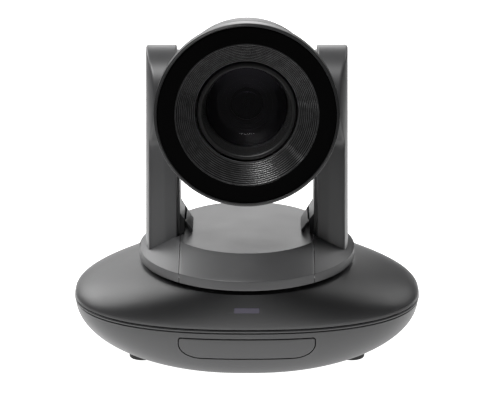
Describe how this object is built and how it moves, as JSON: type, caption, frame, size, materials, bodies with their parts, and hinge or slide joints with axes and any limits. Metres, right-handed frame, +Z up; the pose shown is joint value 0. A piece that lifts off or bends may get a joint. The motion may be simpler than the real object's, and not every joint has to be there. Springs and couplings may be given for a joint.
{
  "type": "ptz camera",
  "caption": "Desktop pan-tilt-zoom camera: oval base, turntable with two upright arms, and a tilting round head with a ribbed lens hood.",
  "frame": {"origin": "on the pan axis at the height of the feet's undersides, which is the centre of the bounding box's bottom", "axes": "+Z up along the pan axis, -Y forward along the lens, +X to the camera viewer's right as seen from the front; the tilt axis is parallel to X"},
  "size_m": [0.1824, 0.1176, 0.1841],
  "materials": {
    "satin_shell": "satin grey moulded plastic",
    "gloss_black": "polished black plastic",
    "black_plastic": "fine matt black",
    "rubber": "matt",
    "circuit_board": "solder mask",
    "lens_glass": "coated optical glass",
    "smoked_window": "smoked translucent window",
    "brass": "turned",
    "aluminium": "cast and machined",
    "steel": "plated sheet"
  },
  "bodies": {
    "base": {"base_bowl": "satin_shell", "base_top_shell": "satin_shell", "front_cover": "satin_shell", "status_led_window": "smoked_window", "foot_front_left": "rubber", "foot_front_right": "rubber", "foot_rear_left": "rubber", "foot_rear_right": "rubber", "bottom_plate": "steel", "tripod_insert": "brass", "main_circuit_board": "circuit_board", "led_board": "circuit_board", "infrared_receiver": "black_plastic", "rear_io_panel": "black_plastic", "coax_socket": "steel", "video_socket": "steel", "data_socket": "steel", "audio_socket": "black_plastic", "network_socket": "steel", "serial_socket": "black_plastic", "power_socket": "black_plastic", "base_chassis": "steel", "pan_bearing": "steel", "pan_motor": "aluminium", "pan_belt": "rubber"},
    "pan_motor_rotor": {"pan_motor_pulley": "brass"},
    "reset_button": {"reset_button": "black_plastic"},
    "format_dial": {"format_dial": "gloss_black"},
    "yoke": {"turntable_cover": "satin_shell", "arm_shell_left": "satin_shell", "arm_shell_right": "satin_shell", "arm_cover_left": "satin_shell", "arm_cover_right": "satin_shell", "turntable_deck": "steel", "pan_shaft": "steel", "pan_pulley": "black_plastic", "arm_bracket_left": "steel", "arm_bracket_right": "steel", "tilt_bearing_left": "steel", "tilt_bearing_right": "steel", "tilt_motor": "aluminium", "tilt_belt": "rubber"},
    "tilt_motor_rotor": {"tilt_motor_pulley": "brass"},
    "head": {"front_bezel": "satin_shell", "face_ring": "gloss_black", "lens_hood": "black_plastic", "lens_barrel": "black_plastic", "front_lens": "lens_glass", "sensor_board": "circuit_board", "head_housing": "satin_shell", "head_rear_cover": "satin_shell", "head_chassis": "aluminium", "tilt_shaft_left": "steel", "tilt_shaft_right": "steel", "tilt_pulley": "black_plastic"},
    "zoom_group": {"zoom_lens_group": "lens_glass"},
    "focus_group": {"focus_lens_group": "lens_glass"}
  },
  "joints": [
    {"name": "pan", "type": "hinge", "parent": "base", "child": "yoke", "pos_m": [0, 0, 0.0489], "axis": [0, 0, 1], "range_deg": [-170, 170]},
    {"name": "tilt", "type": "hinge", "parent": "yoke", "child": "head", "pos_m": [0, 0, 0.1341], "axis": [-1, 0, 0], "range_deg": [-35.2, 84.8]},
    {"name": "pan_motor_spin", "type": "hinge", "parent": "base", "child": "pan_motor_rotor", "pos_m": [0.032, 0, 0.033], "axis": [0, 0, 1], "range_deg": [-600, 600]},
    {"name": "tilt_motor_spin", "type": "hinge", "parent": "yoke", "child": "tilt_motor_rotor", "pos_m": [0.0434, 0, 0.094], "axis": [-1, 0, 0], "range_deg": [-90, 215]},
    {"name": "zoom", "type": "slide", "parent": "head", "child": "zoom_group", "axis": [0, 0.9959, -0.0906], "range_m": [0, 0.011]},
    {"name": "focus", "type": "slide", "parent": "head", "child": "focus_group", "axis": [0, 0.9959, -0.0906], "range_m": [-0.005, 0.0025]},
    {"name": "reset_press", "type": "slide", "parent": "base", "child": "reset_button", "axis": [0, -1, 0], "range_m": [0, 0.001], "stiffness_N_per_m": 300},
    {"name": "format_select", "type": "hinge", "parent": "base", "child": "format_dial", "pos_m": [0.0328, 0.0463, 0.0218], "axis": [0, 1, 0], "continuous": true}
  ],
  "couplings": [
    {"joint": "pan_motor_spin", "follows": "pan", "ratio": 3.5},
    {"joint": "tilt_motor_spin", "follows": "tilt", "ratio": 2.5}
  ]
}
